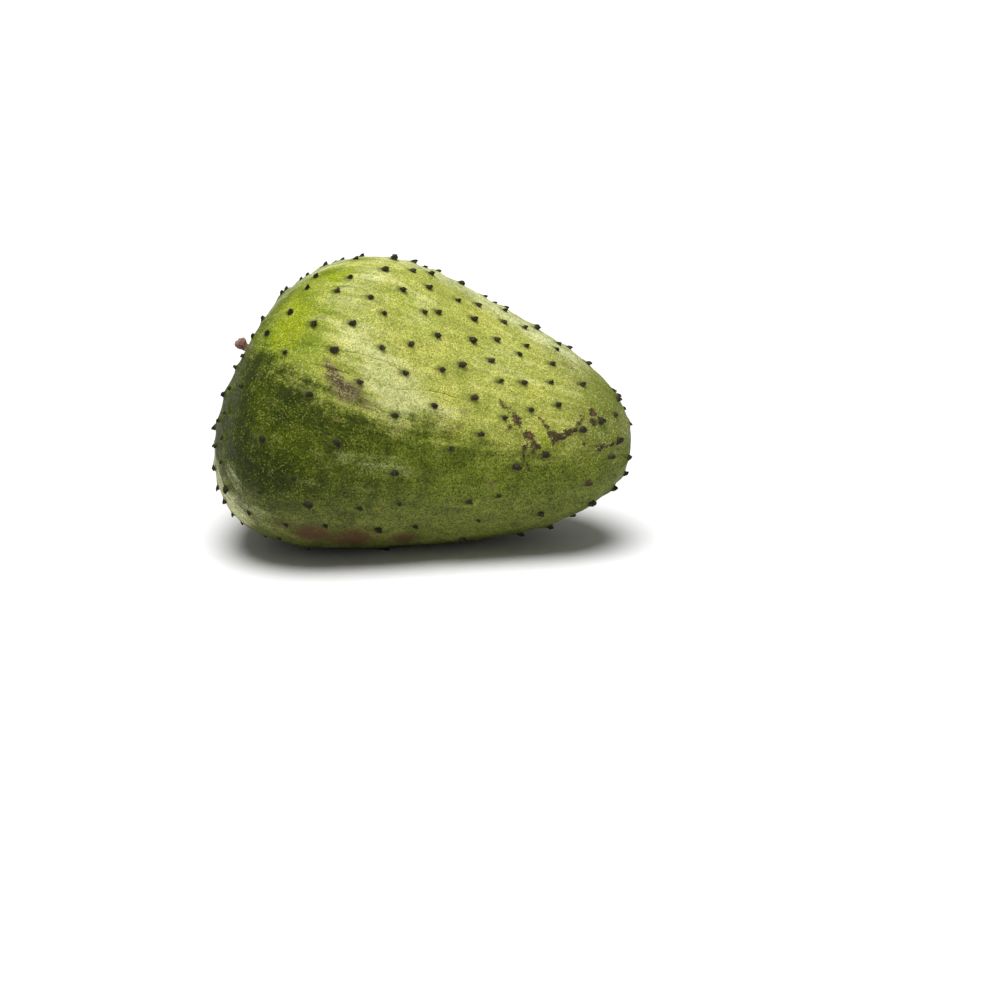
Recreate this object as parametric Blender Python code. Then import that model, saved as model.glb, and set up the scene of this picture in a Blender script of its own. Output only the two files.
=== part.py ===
"""A whole soursop as picked, lying on its side: one solid fruit set with short leaning spines, and its woody
stalk stub.

Metres, +Z up. The fruit's long axis runs along X, with the stalk end at -X and the tip at +X. It lies on a
small flat spot, whose centre is the origin.
"""

import math
import random

import bmesh
import bpy
from mathutils import Matrix, Vector

MM = 0.001

# The fruit's body, before it is laid down: a blunt egg along X whose axis curves up towards both ends.
AXIS_LENGTH = 191 * MM
GIRTH_RADIUS = 62.8 * MM
STALK_END_FULLNESS = 0.41  # how much fatter the stalk half is than the tip half
END_BLUNTNESS = 0.3
AXIS_BEND_RADIUS = 346 * MM
DIMPLE_DEPTH = 3.0 * MM  # the hollow that the stalk stands in
DIMPLE_SPREAD = math.radians(11)

# Each row is (lobes round the girth, share of the radius, towards, centre along, spread along), in degrees.
# Towards is 0 at the top and 90 at the front (-Y). Along is 0 at the stalk and 180 at the tip.
SWELLINGS = (
    (1, 0.146, 146, 40, 35),  # the lower shoulder beside the stalk
    (1, 0.107, -90, 115, 35),  # the tip half leans to the back
    (2, 0.021, -45, 75, 60),  # the girth is slightly oval
    (3, 0.059, 4, 62, 34),  # the stalk half is softly three-cornered
)

# How it lies.
TIP_DROP = math.radians(11.3)
FLAT_SPOT_DEPTH = 1.2 * MM  # how far the skin is pressed flat where it rests

# The spines stand in rings round the axis, and each ring's spines stand over the gaps of the ring before. A
# ring's place along the fruit is a cubic in its number. Columns are the places round a ring: a ring's spines
# take every second one. They are even but for a stretch low down the front that is drawn apart, and where the
# columns have more room, so do the rings. Angles are in degrees, as above.
RINGS = 13
CLOSEST_RING = 6.19
CLOSEST_PLACE = 92
CLOSEST_STEP = 8.03
STEP_GROWTH = 0.095
COLUMNS = 42
FIRST_COLUMN = 7.1
STRETCH_COLUMN = 12.94
STRETCH_COLUMNS = 3.47  # half the stretch's width, in columns
STRETCH_SHIFT = 32.7  # how far the stretch moves the columns on each side of it
ROOM_CENTRE = 77.4  # the place that the rings are drawn away from
FIRST_PLACE = 13
LAST_PLACE = 172
LEAST_SPACING = 11.5 * MM  # a ring whose spines would stand closer than this has half as many
SIZE_GROWTH = 0.3  # spines with more room are larger, by this power of the room
SPINE_JITTER = 2.2 * MM
SPINE_SEED = 1073

# Smaller spines fill four sides of the fruit wherever there is room. They are tried along a spiral over all
# of it. Each row is (the way that the side faces, how squarely the skin must face it, least distance to any
# other spine, tries along the spiral).
FILLED_SIDES = (
    ((-0.77, 0.6, -0.22), 0.3, 10.5 * MM, 1100),  # the far side of the stalk end
    ((1.0, 0.0, 0.1), 0.85, 11.5 * MM, 1100),  # the tip
    ((-0.08, -0.78, -0.45), 0.9, 13.5 * MM, 1100),  # low down the front
    ((-0.55, 0.45, 0.7), 0.86, 7.2 * MM, 2600),  # the top of the stalk end
)
FILL_SIZE = 0.78

SPINE_SIDES = 5
SPINE_HEIGHT = 2.25 * MM
SPINE_RADIUS = 1.45 * MM
SPINE_SIZES = (0.86, 1.16)  # each spine's size is drawn between these shares
SPINE_ROOT = 1.6 * MM  # how deep a spine's root is sunk
SPINE_ROOT_SPREAD = 1.25  # how much wider its root is than its foot
SPINE_WAIST = (0.55, 0.62)  # share of the height, and of the radius
SPINE_BUTTRESS = 0.5  # how much longer a spine's foot is towards the stalk
SPINE_LEAN = 0.6  # sideways travel of the point per unit of height, towards the tip of the fruit
SPINE_LEANS = (0.5, 1.4)  # each spine's lean is drawn between these shares of it
LEAST_CLEARANCE = 0.8 * MM  # no spine grows where the skin is closer than this to the surface it lies on

# The stalk stub: rows of (distance along, radius), from its sunk root to its broken end.
STALK_PROFILE = (
    (-3.2 * MM, 2.1 * MM),
    (0.5 * MM, 2.4 * MM),
    (2.0 * MM, 1.9 * MM),
    (3.6 * MM, 1.9 * MM),
    (5.2 * MM, 2.4 * MM),
    (6.6 * MM, 2.8 * MM),
    (7.7 * MM, 2.7 * MM),
    (8.4 * MM, 1.9 * MM),
)
STALK_SIDES = 10
STALK_STEPS = 24  # its curled line is followed in this many steps
STALK_CURL = math.radians(46)  # how far it turns up from root to end
STALK_RIDGE = 0.09
SOCKET_CLEARANCE = 0.35 * MM
SOCKET_DEPTH = 3.6 * MM
SLAB_WIDTH = 400 * MM  # the slab that presses the flat spot
SLAB_DEPTH = 20 * MM

BODY_SEGMENTS = 44
BODY_RINGS = 28
SKIN_SMOOTH_ANGLE = math.radians(40)  # sharper edges than these stay sharp
STALK_SMOOTH_ANGLE = math.radians(50)
SKIN_COLOUR = (0.24, 0.36, 0.07, 1.0)
STALK_COLOUR = (0.23, 0.12, 0.075, 1.0)


def clear_scene():
    for obj in list(bpy.data.objects):
        bpy.data.objects.remove(obj)


def material(name, colour, roughness):
    made = bpy.data.materials.new(name)
    made.use_nodes = True
    shader = made.node_tree.nodes["Principled BSDF"]
    shader.inputs["Base Color"].default_value = colour
    shader.inputs["Roughness"].default_value = roughness
    shader.inputs["Metallic"].default_value = 0.0
    return made


def linked(name, mesh, finish=None):
    """A new object holding the mesh, in the scene."""
    obj = bpy.data.objects.new(name, mesh)
    bpy.context.scene.collection.objects.link(obj)
    if finish:
        mesh.materials.append(finish)
    return obj


# ---- the fruit's shape ----


def egg_radius(along):
    """The plain egg's radius, before its swellings."""
    c = math.cos(along)
    return GIRTH_RADIUS * math.sin(along) * (1 + STALK_END_FULLNESS * c + END_BLUNTNESS * c * c)


def swelling(along, around):
    """How far the skin stands out here, as a share of the plain egg's radius."""
    share = 1.0
    for lobes, size, towards, centre, spread in SWELLINGS:
        near = math.exp(-(((along - math.radians(centre)) / math.radians(spread)) ** 2))
        share += size * near * math.cos(lobes * (around - math.radians(towards)))
    return share


def bent(x, y, z):
    """The point once the straight axis is curved into an arc that rises towards both ends."""
    turn = x / AXIS_BEND_RADIUS
    reach = AXIS_BEND_RADIUS - z
    return Vector((reach * math.sin(turn), y, AXIS_BEND_RADIUS - reach * math.cos(turn)))


def standing_point(along, around):
    """A point of the skin before the fruit is laid down."""
    radius = egg_radius(along) * swelling(along, around)
    dimple = DIMPLE_DEPTH * math.exp(-((along / DIMPLE_SPREAD) ** 2))
    x = dimple - AXIS_LENGTH / 2 * math.cos(along)
    return bent(x, -radius * math.sin(around), radius * math.cos(around))


def lowest_point(turned):
    """The skin's lowest point once turned, found by a search that closes in on it."""
    along, around, step = math.pi / 2, math.pi, 0.4
    while step > 1e-5:
        tries = [(along + i * step, around + j * step) for i in (-1, 0, 1) for j in (-1, 0, 1)]
        best = min(tries, key=lambda at: (turned @ standing_point(*at)).z)
        if best == (along, around):
            step /= 2
        along, around = best
    return turned @ standing_point(along, around)


def laid_down():
    """The matrix that lays the fruit down, with the tip dropped and the flat spot's centre at the origin."""
    turned = Matrix.Rotation(TIP_DROP, 4, "Y")
    low = lowest_point(turned)
    return Matrix.Translation((-low.x, -low.y, -low.z - FLAT_SPOT_DEPTH)) @ turned


LAID = laid_down()


def skin_point(along, around):
    return LAID @ standing_point(along, around)


def skin_frame(along, around):
    """The skin's place, its outward normal, and the way along it towards the tip."""
    h = 1e-3
    here = skin_point(along, around)
    to_tip = (skin_point(along + h, around) - skin_point(along - h, around)).normalized()
    over = skin_point(along, around + h) - skin_point(along, around - h)
    normal = over.cross(to_tip).normalized()
    return here, normal, to_tip


def body_mesh():
    """The bare fruit as a closed mesh of rings from the stalk to the tip."""
    bm = bmesh.new()
    rings = []
    for i in range(1, BODY_RINGS):
        along = math.pi * i / BODY_RINGS
        turns = [2 * math.pi * j / BODY_SEGMENTS for j in range(BODY_SEGMENTS)]
        rings.append([bm.verts.new(skin_point(along, around)) for around in turns])
    for ring, after in zip(rings, rings[1:]):
        for j in range(BODY_SEGMENTS):
            k = (j + 1) % BODY_SEGMENTS
            bm.faces.new((ring[j], after[j], after[k], ring[k]))
    for along, ring in ((0.0, rings[0]), (math.pi, rings[-1])):
        pole = bm.verts.new(skin_point(along, 0.0))
        for j in range(BODY_SEGMENTS):
            bm.faces.new((pole, ring[j], ring[(j + 1) % BODY_SEGMENTS]))
    bmesh.ops.triangulate(bm, faces=bm.faces)
    bmesh.ops.recalc_face_normals(bm, faces=bm.faces)
    mesh = bpy.data.meshes.new("fruit")
    bm.to_mesh(mesh)
    bm.free()
    return mesh


# ---- the spines ----


def column_place(column):
    """How far round the fruit this column stands, in degrees, and its share of an even column's room."""
    even = (360 - 2 * STRETCH_SHIFT) / COLUMNS
    away = (column - STRETCH_COLUMN) / STRETCH_COLUMNS
    around = FIRST_COLUMN + even * column + STRETCH_SHIFT * (1 + math.tanh(away))
    return around, 1 + STRETCH_SHIFT / STRETCH_COLUMNS / math.cosh(away) ** 2 / even


def ring_along(ring, room):
    """How far along the fruit this ring stands, in degrees, where the column has this much room."""
    away = ring - CLOSEST_RING
    place = CLOSEST_PLACE + CLOSEST_STEP * away + STEP_GROWTH * away**3
    return ROOM_CENTRE + (place - ROOM_CENTRE) * room


def ring_sites():
    """The (along, around, size) of each spine in the rings."""
    dice = random.Random(SPINE_SEED)
    sites = []
    for ring in range(RINGS):
        girth = 2 * math.pi * egg_radius(math.radians(ring_along(ring, 1)))
        stride = 2 if 2 * girth / COLUMNS > LEAST_SPACING else 4
        for column in range(ring % stride, COLUMNS, stride):
            turn, room = column_place(column)
            place = ring_along(ring, room)
            if FIRST_PLACE < place < LAST_PLACE:
                along, around = math.radians(place), math.radians(turn)
                around += dice.gauss(0, SPINE_JITTER) / egg_radius(along)
                along += dice.gauss(0, SPINE_JITTER) / (AXIS_LENGTH / 2)
                sites.append((along, around, room**SIZE_GROWTH))
    return sites


def fill_sites(sites):
    """The (along, around, size) of each smaller spine that fills a side between the sites given."""
    taken = [skin_point(along, around) for along, around, size in sites]
    filled = []
    for way, least_facing, gap, tries in FILLED_SIDES:
        facing = Vector(way).normalized()
        for i in range(tries):
            along = math.acos(1 - (2 * i + 1) / tries)
            around = i * math.pi * (3 - math.sqrt(5))
            here, normal, to_tip = skin_frame(along, around)
            in_range = math.radians(FIRST_PLACE) < along < math.radians(LAST_PLACE)
            if not in_range or normal.dot(facing) < least_facing:
                continue
            if min((here - other).length for other in taken) > gap:
                taken.append(here)
                filled.append((along, around, FILL_SIZE))
    return filled


def spine_mesh(here, normal, to_tip, size, lean):
    """One closed spine: a root longest towards the stalk, a waist, and a point that leans to the tip."""
    side = normal.cross(to_tip).normalized()
    waist_height, waist_radius = SPINE_WAIST
    height, radius = SPINE_HEIGHT * size, SPINE_RADIUS * size
    bm = bmesh.new()

    def ring(up, out, shift):
        centre = here + normal * up + to_tip * shift
        corners = []
        for k in range(SPINE_SIDES):
            turn = 2 * math.pi * k / SPINE_SIDES
            ahead = math.cos(turn)
            reach = ahead * (1 + SPINE_BUTTRESS) if ahead < 0 else ahead
            corners.append(bm.verts.new(centre + (to_tip * reach + side * math.sin(turn)) * out))
        return corners

    root = ring(-SPINE_ROOT, radius * SPINE_ROOT_SPREAD, 0.0)
    waist = ring(height * waist_height, radius * waist_radius, 0.5 * lean * height * waist_height)
    point = bm.verts.new(here + normal * height + to_tip * lean * height)
    for k in range(SPINE_SIDES):
        n = (k + 1) % SPINE_SIDES
        bm.faces.new((root[k], root[n], waist[n], waist[k]))
        bm.faces.new((waist[k], waist[n], point))
    bm.faces.new(reversed(root))
    bmesh.ops.recalc_face_normals(bm, faces=bm.faces)
    mesh = bpy.data.meshes.new("spine")
    bm.to_mesh(mesh)
    bm.free()
    return mesh


def grow_spines(collection):
    """Every spine as its own object in the collection, but for those that would be under the flat spot."""
    dice = random.Random(SPINE_SEED + 1)
    sites = ring_sites()
    for along, around, share in sites + fill_sites(sites):
        size = share * dice.uniform(*SPINE_SIZES)
        lean = SPINE_LEAN * dice.uniform(*SPINE_LEANS)
        here, normal, to_tip = skin_frame(along, around)
        if here.z > LEAST_CLEARANCE:
            mesh = spine_mesh(here, normal, to_tip, size, lean)
            collection.objects.link(bpy.data.objects.new("spine", mesh))


# ---- the stalk ----


def stalk_path(distance):
    """The stub's centre and direction at this distance from the dimple's floor.

    It leaves along the fruit's axis and curls up.
    """
    root = skin_point(0.0, 0.0)
    out = (LAID.to_3x3() @ (bent(-1e-3, 0, 0) - bent(0, 0, 0))).normalized()
    length = STALK_PROFILE[-1][0]
    if distance <= 0:
        return root + out * distance, out
    here = root.copy()
    for i in range(STALK_STEPS):
        share = distance * (i + 0.5) / STALK_STEPS / length
        here += Matrix.Rotation(STALK_CURL * share, 3, "Y") @ out * (distance / STALK_STEPS)
    return here, Matrix.Rotation(STALK_CURL * distance / length, 3, "Y") @ out


def stalk_mesh():
    """The closed, slightly ridged woody stub."""
    bm = bmesh.new()
    rings = []
    for distance, radius in STALK_PROFILE:
        centre, ahead = stalk_path(distance)
        side = Vector((0, 1, 0))
        up = side.cross(ahead).normalized()
        ring = []
        for k in range(STALK_SIDES):
            turn = 2 * math.pi * k / STALK_SIDES
            ridge = 1 + (STALK_RIDGE * (-1) ** k if distance > 2 * MM else 0.0)
            out = side * math.cos(turn) + up * math.sin(turn)
            ring.append(bm.verts.new(centre + out * radius * ridge))
        rings.append(ring)
    for ring, after in zip(rings, rings[1:]):
        for k in range(STALK_SIDES):
            n = (k + 1) % STALK_SIDES
            bm.faces.new((ring[k], ring[n], after[n], after[k]))
    bm.faces.new(reversed(rings[0]))
    bm.faces.new(rings[-1])
    bmesh.ops.recalc_face_normals(bm, faces=bm.faces)
    mesh = bpy.data.meshes.new("stalk")
    bm.to_mesh(mesh)
    bm.free()
    return mesh


# ---- cutting and joining ----


def apply_boolean(obj, operation, cutter=None, collection=None):
    """Cuts the cutter from the object, or joins a collection to it, in the object's own mesh."""
    boolean = obj.modifiers.new("join", "BOOLEAN")
    boolean.operation = operation
    boolean.solver = "EXACT"
    if collection:
        boolean.operand_type = "COLLECTION"
        boolean.collection = collection
    else:
        boolean.object = cutter
    bpy.context.view_layer.objects.active = obj
    bpy.ops.object.modifier_apply(modifier=boolean.name)


def socket_cutter():
    """A cylinder a little wider than the stalk's root, along its line through the dimple's floor."""
    centre, ahead = stalk_path(0.0)
    radius = max(STALK_PROFILE[0][1], STALK_PROFILE[1][1]) + SOCKET_CLEARANCE
    bpy.ops.mesh.primitive_cylinder_add(
        vertices=2 * STALK_SIDES, radius=radius, depth=2 * SOCKET_DEPTH, location=centre
    )
    cutter = bpy.context.object
    cutter.rotation_mode = "QUATERNION"
    cutter.rotation_quaternion = ahead.to_track_quat("Z", "Y")
    return cutter


def floor_cutter():
    """A slab whose top is the surface that the fruit lies on."""
    bpy.ops.mesh.primitive_cube_add(size=1, location=(0, 0, -SLAB_DEPTH / 2))
    cutter = bpy.context.object
    cutter.scale = (SLAB_WIDTH, SLAB_WIDTH, SLAB_DEPTH)
    return cutter


def build_fruit():
    """The fruit with its spines joined in, its socket for the stalk, and its flat spot."""
    fruit = linked("fruit", body_mesh(), material("soursop_skin", SKIN_COLOUR, 0.5))
    spines = bpy.data.collections.new("spines")
    bpy.context.scene.collection.children.link(spines)
    grow_spines(spines)
    apply_boolean(fruit, "UNION", collection=spines)
    for spine in list(spines.objects):
        bpy.data.objects.remove(spine)
    bpy.data.collections.remove(spines)
    for cutter in (socket_cutter(), floor_cutter()):
        apply_boolean(fruit, "DIFFERENCE", cutter=cutter)
        bpy.data.objects.remove(cutter)
    fruit.data.shade_smooth()
    fruit.data.set_sharp_from_angle(angle=SKIN_SMOOTH_ANGLE)
    return fruit


def build_stalk():
    stalk = linked("stalk", stalk_mesh(), material("stalk_wood", STALK_COLOUR, 0.8))
    stalk.data.shade_smooth()
    stalk.data.set_sharp_from_angle(angle=STALK_SMOOTH_ANGLE)
    return stalk


clear_scene()
build_fruit()
build_stalk()
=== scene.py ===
import math
import random

import bpy
import numpy as np
from mathutils import Matrix, Vector, noise


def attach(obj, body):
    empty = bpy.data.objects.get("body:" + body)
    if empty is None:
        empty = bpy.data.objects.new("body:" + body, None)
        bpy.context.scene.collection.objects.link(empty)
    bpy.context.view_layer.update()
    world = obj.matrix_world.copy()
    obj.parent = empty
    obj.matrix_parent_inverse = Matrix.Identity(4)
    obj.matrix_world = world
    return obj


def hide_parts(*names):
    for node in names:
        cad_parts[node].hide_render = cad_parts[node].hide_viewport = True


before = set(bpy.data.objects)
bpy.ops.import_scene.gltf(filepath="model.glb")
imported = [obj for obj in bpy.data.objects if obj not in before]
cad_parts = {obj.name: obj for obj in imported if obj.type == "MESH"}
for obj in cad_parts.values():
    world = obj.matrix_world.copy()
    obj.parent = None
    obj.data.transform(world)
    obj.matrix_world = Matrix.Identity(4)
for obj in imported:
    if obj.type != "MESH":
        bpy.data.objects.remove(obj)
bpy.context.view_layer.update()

mm = 0.001
print("frame loaded:", ", ".join(sorted(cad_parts)))


# the fruit's form: along runs from 0 at the stalk to 180 at the tip, around is 0 on top and 90 in front

body = {
    "axisLength": 191 * mm,
    "girthRadius": 62.8 * mm,
    "stalkEndFullness": 0.41,
    "endBluntness": 0.3,
    "axisBendRadius": 346 * mm,
    "dimpleDepth": 3.0 * mm,
    "dimpleSpread": math.radians(11),
    "tipDrop": math.radians(11.3),
    "flatSpotDepth": 1.2 * mm,
    # lobes, share of the radius, towards, centre along, spread along
    "swellings": [
        (1, 0.146, 146, 40, 35),
        (1, 0.107, -90, 115, 35),
        (2, 0.021, -45, 75, 60),
        (3, 0.059, 4, 62, 34),
    ],
}


def eggRadius(along):
    cosine = np.cos(along)
    fullness = 1 + body["stalkEndFullness"] * cosine + body["endBluntness"] * cosine * cosine
    return body["girthRadius"] * np.sin(along) * fullness


def curved(x, y, z):
    # the straight axis becomes an arc that rises at both ends
    turn = x / body["axisBendRadius"]
    reach = body["axisBendRadius"] - z
    return np.stack((reach * np.sin(turn), y, body["axisBendRadius"] - reach * np.cos(turn)), -1)


def standingPoints(along, around):
    # the skin before the fruit is laid down
    share = 1.0
    for lobes, size, towards, centre, spread in body["swellings"]:
        near = np.exp(-(((along - math.radians(centre)) / math.radians(spread)) ** 2))
        share = share + size * near * np.cos(lobes * (around - math.radians(towards)))
    radius = eggRadius(along) * share
    dimple = body["dimpleDepth"] * np.exp(-((along / body["dimpleSpread"]) ** 2))
    x = dimple - body["axisLength"] / 2 * np.cos(along)
    return curved(x, -radius * np.sin(around), radius * np.cos(around))


# the fruit is laid down with its tip dropped and its flat spot's centre at the origin

tipDrop = body["tipDrop"]
layTurn = np.array(
    [
        [math.cos(tipDrop), 0, math.sin(tipDrop)],
        [0, 1, 0],
        [-math.sin(tipDrop), 0, math.cos(tipDrop)],
    ]
)


def lowestPoint():
    # a search that starts under the middle and closes in
    along, around = math.pi / 2, math.pi
    step, finest = 0.4, 1e-5
    while step > finest:
        tries = [(along + i * step, around + j * step) for i in (-1, 0, 1) for j in (-1, 0, 1)]
        best = min(tries, key=lambda at: (layTurn @ standingPoints(*at))[2])
        if best == (along, around):
            step /= 2
        along, around = best
    return layTurn @ standingPoints(along, around)


layShift = -lowestPoint() - np.array([0, 0, body["flatSpotDepth"]])


def skinPoints(along, around):
    return standingPoints(along, around) @ layTurn.T + layShift


def unit(rows):
    return rows / np.linalg.norm(rows, axis=-1, keepdims=True)


def skinFrames(along, around):
    # the skin's place, its outward normal, and the way along it towards the tip
    nudge = 1e-3
    along = np.clip(along, 2 * nudge, math.pi - 2 * nudge)
    toTip = unit(skinPoints(along + nudge, around) - skinPoints(along - nudge, around))
    over = skinPoints(along, around + nudge) - skinPoints(along, around - nudge)
    return skinPoints(along, around), unit(np.cross(over, toTip)), toTip


def smoothStep(value, low, high):
    share = np.clip((value - low) / (high - low), 0, 1)
    return share * share * (3 - 2 * share)


def deselectAll():
    bpy.ops.object.select_all(action="DESELECT")


def meshPoints(piece):
    flat = np.empty(len(piece.data.vertices) * 3)
    piece.data.vertices.foreach_get("co", flat)
    return flat.reshape(-1, 3)


def movePoints(piece, points):
    piece.data.vertices.foreach_set("co", points.ravel())
    piece.data.update()


def paint(piece, name, values):
    # a value at every point, for the materials to read
    piece.data.attributes.new(name, "FLOAT", "POINT")
    piece.data.attributes[name].data.foreach_set("value", np.asarray(values, dtype=np.float32))


# where the spines stand: rings round the axis, each ring's spines over the gaps of the ring before

spine = {
    # a ring's place along the fruit is a cubic in its number, in degrees
    "rings": 13,
    "closestRing": 6.19,
    "closestPlace": 92,
    "closestStep": 8.03,
    "stepGrowth": 0.095,
    # places round a ring, even but for a stretch low in front that is drawn apart, in degrees
    "columns": 42,
    "firstColumn": 7.1,
    "stretchColumn": 12.94,
    "stretchColumns": 3.47,
    "stretchShift": 32.7,
    "roomCentre": 77.4,
    "firstPlace": 13,
    "lastPlace": 172,
    "leastSpacing": 11.5 * mm,
    "sizeGrowth": 0.3,
    "jitter": 2.2 * mm,
    "seed": 1073,
    # sides filled with smaller spines: the way it faces, how squarely, least distance to another, tries
    "filledSides": [
        ((-0.77, 0.6, -0.22), 0.3, 10.5 * mm, 1100),
        ((1.0, 0.0, 0.1), 0.85, 11.5 * mm, 1100),
        ((-0.08, -0.78, -0.45), 0.9, 13.5 * mm, 1100),
        ((-0.55, 0.45, 0.7), 0.86, 7.2 * mm, 2600),
    ],
    "fillSize": 0.78,
    "leastClearance": 0.8 * mm,
    "height": 2.25 * mm,
    "radius": 1.45 * mm,
    "lean": 0.6,
    # every spine differs: each share is drawn between these
    "sizes": (0.86, 1.16),
    "leans": (0.5, 1.4),
    "widths": (0.9, 1.12),
    "heights": (0.92, 1.02),
    "bends": (0.9, 1.25),
    "flattenings": (0.85, 1.05),
    "turn": 14,  # degrees
    "crook": 0.14,
    "crookFrom": 0.1,
    "leanShare": 0.45,
    "shapeSeed": 31,
    "smoothAngle": math.radians(50),
    "sides": 8,
    # height, radius, shift to the tip, and how far the stalk side trails, as shares
    "rows": [
        (-0.42, 1.15, 0.0, 1.5),
        (0.02, 1.02, 0.0, 1.4),
        (0.34, 0.88, 0.06, 1.2),
        (0.66, 0.72, 0.2, 1.05),
        (0.92, 0.46, 0.4, 1.0),
        (1.0, 0.1, 0.55, 1.0),
    ],
}


def columnPlace(column):
    # how far round the fruit a column stands, and its share of an even column's room
    even = (360 - 2 * spine["stretchShift"]) / spine["columns"]
    away = (column - spine["stretchColumn"]) / spine["stretchColumns"]
    around = spine["firstColumn"] + even * column + spine["stretchShift"] * (1 + math.tanh(away))
    return around, 1 + spine["stretchShift"] / spine["stretchColumns"] / math.cosh(away) ** 2 / even


def ringAlong(ring, room):
    # how far along the fruit a ring stands, where the column has this much room
    away = ring - spine["closestRing"]
    place = spine["closestPlace"] + spine["closestStep"] * away + spine["stepGrowth"] * away**3
    return spine["roomCentre"] + (place - spine["roomCentre"]) * room


def ringSites():
    # each ring spine's along, around and size
    dice = random.Random(spine["seed"])
    sites = []
    for ring in range(spine["rings"]):
        girth = 2 * math.pi * eggRadius(math.radians(ringAlong(ring, 1)))
        stride = 2 if 2 * girth / spine["columns"] > spine["leastSpacing"] else 4
        for column in range(ring % stride, spine["columns"], stride):
            turn, room = columnPlace(column)
            place = ringAlong(ring, room)
            if spine["firstPlace"] < place < spine["lastPlace"]:
                along, around = math.radians(place), math.radians(turn)
                around += dice.gauss(0, spine["jitter"]) / eggRadius(along)
                along += dice.gauss(0, spine["jitter"]) / (body["axisLength"] / 2)
                sites.append((along, around, room ** spine["sizeGrowth"]))
    return sites


def fillSites(sites):
    # the same for the smaller spines between them
    taken = [skinPoints(along, around) for along, around, _ in sites]
    filled = []
    for way, leastFacing, gap, tries in spine["filledSides"]:
        facing = unit(np.array(way))
        for i in range(tries):
            along = math.acos(1 - (2 * i + 1) / tries)
            around = i * math.pi * (3 - math.sqrt(5))
            here, normal, _ = skinFrames(along, around)
            inRange = spine["firstPlace"] < math.degrees(along) < spine["lastPlace"]
            if not inRange or normal @ facing < leastFacing:
                continue
            if min(np.linalg.norm(here - other) for other in taken) > gap:
                taken.append(here)
                filled.append((along, around, spine["fillSize"]))
    return filled


def standingSpines():
    # each spine's place, normal, way to the tip, size and lean, leaving out those under the flat spot
    dice = random.Random(spine["seed"] + 1)
    found = []
    sites = ringSites()
    for along, around, share in sites + fillSites(sites):
        size = share * dice.uniform(*spine["sizes"])
        lean = spine["lean"] * dice.uniform(*spine["leans"])
        here, normal, toTip = skinFrames(along, around)
        if here[2] > spine["leastClearance"]:
            found.append((here, normal, toTip, size, lean))
    return found


spinesHere = standingSpines()
print("spines placed:", len(spinesHere))


# markings on the skin, and where painted light and shade fall on it, by (along, around) in degrees

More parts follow.
